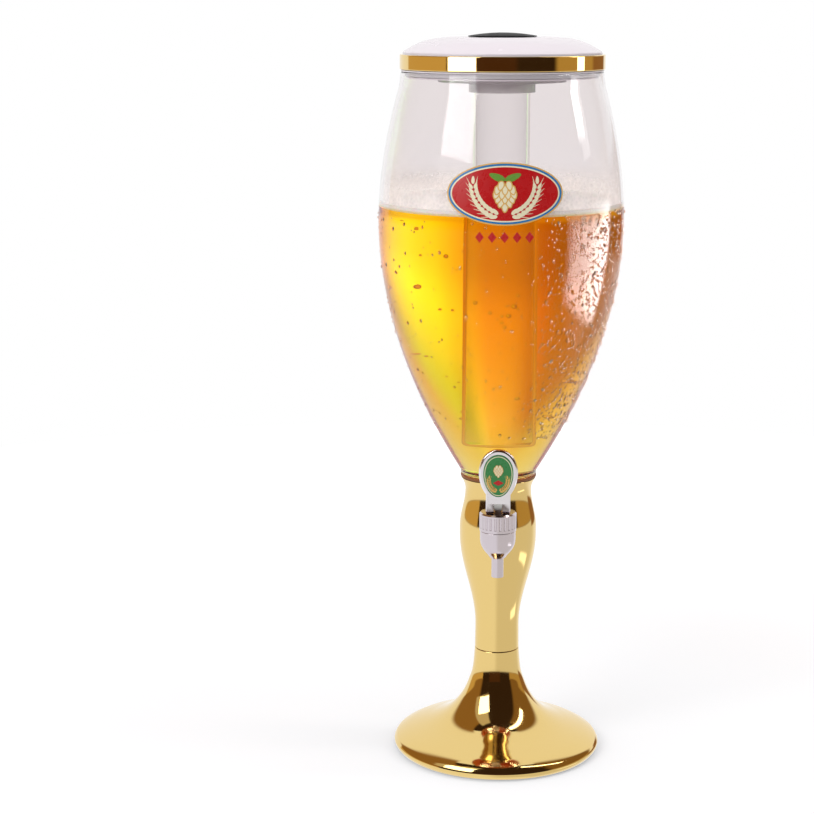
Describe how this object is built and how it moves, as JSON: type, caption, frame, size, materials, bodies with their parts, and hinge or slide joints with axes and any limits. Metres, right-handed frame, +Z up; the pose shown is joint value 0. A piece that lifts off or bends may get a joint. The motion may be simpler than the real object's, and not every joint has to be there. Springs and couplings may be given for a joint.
{
  "type": "beer tower dispenser",
  "caption": "Goblet-shaped drink tower: clear bowl on a gold stem and foot, white lid with an ice tube, and a lever tap on the stem.",
  "frame": {"origin": "on the table, under the middle of the foot", "axes": "+Z up the tower's axis, -Y out of the tap's side, +X to the right of someone who faces the tap"},
  "size_m": [0.1664, 0.1664, 0.5008],
  "materials": {
    "gold_plating": "bright gold metallised plastic",
    "silver_plating": "bright silver metallised plastic",
    "clear_plastic": "clear moulded plastic, polished",
    "white_plastic": "white moulded plastic, glossy",
    "black_plastic": "black moulded plastic, satin",
    "beer": "clear amber liquid",
    "foam": "fine white foam",
    "steel": "plain stainless steel",
    "ballast_iron": "rough cast iron",
    "rubber": "black rubber, matt",
    "silicone": "translucent white silicone",
    "amber_seal": "brown rubber, satin",
    "badge": "green printed badge under clear varnish"
  },
  "bodies": {
    "root": {"foot": "gold_plating", "foot_cover": "black_plastic", "foot_screw_1": "steel", "foot_screw_2": "steel", "foot_screw_3": "steel", "foot_screw_4": "steel", "foot_pad_1": "rubber", "foot_pad_2": "rubber", "foot_pad_3": "rubber", "foot_pad_4": "rubber", "ballast_ring": "ballast_iron", "stem": "gold_plating", "neck_seal": "amber_seal", "bowl": "clear_plastic", "beer": "beer", "foam_head": "foam", "tap_body": "silver_plating", "tap_washer": "rubber", "shank_gasket": "rubber", "shank_nut": "steel", "tap_bonnet": "silver_plating", "tap_seat_cup": "silicone"},
    "lid": {"lid_dome": "white_plastic", "lid_band": "gold_plating", "lid_pan": "white_plastic", "lid_seal": "silicone", "tube_flange": "clear_plastic", "tube_gasket": "silicone", "ice_tube": "clear_plastic"},
    "ice_cap": {"ice_cap": "black_plastic", "cap_oring": "rubber"},
    "valve": {"valve_stem": "steel"},
    "lever": {"tap_lever": "silver_plating", "lever_pin": "steel", "lever_badge": "badge"}
  },
  "joints": [
    {"name": "lid_lift", "type": "slide", "parent": "root", "child": "lid", "axis": [0, 0, 1], "range_m": [0, 0.27]},
    {"name": "cap_lift", "type": "slide", "parent": "lid", "child": "ice_cap", "axis": [0, 0, 1], "range_m": [0, 0.03]},
    {"name": "stem_lift", "type": "slide", "parent": "root", "child": "valve", "axis": [0, 0, 1], "range_m": [0, 0.004], "deforming": ["tap_seat_cup"]},
    {"name": "lever_tilt", "type": "hinge", "parent": "valve", "child": "lever", "pos_m": [0, -0.05, 0.188], "axis": [1, 0, 0], "range_deg": [0, 50], "stiffness_Nm_per_rad": 0.042, "springref_deg": -37.24}
  ],
  "couplings": [
    {"joint": "stem_lift", "follows": "lever_tilt", "m_per_rad": 0.00458}
  ]
}
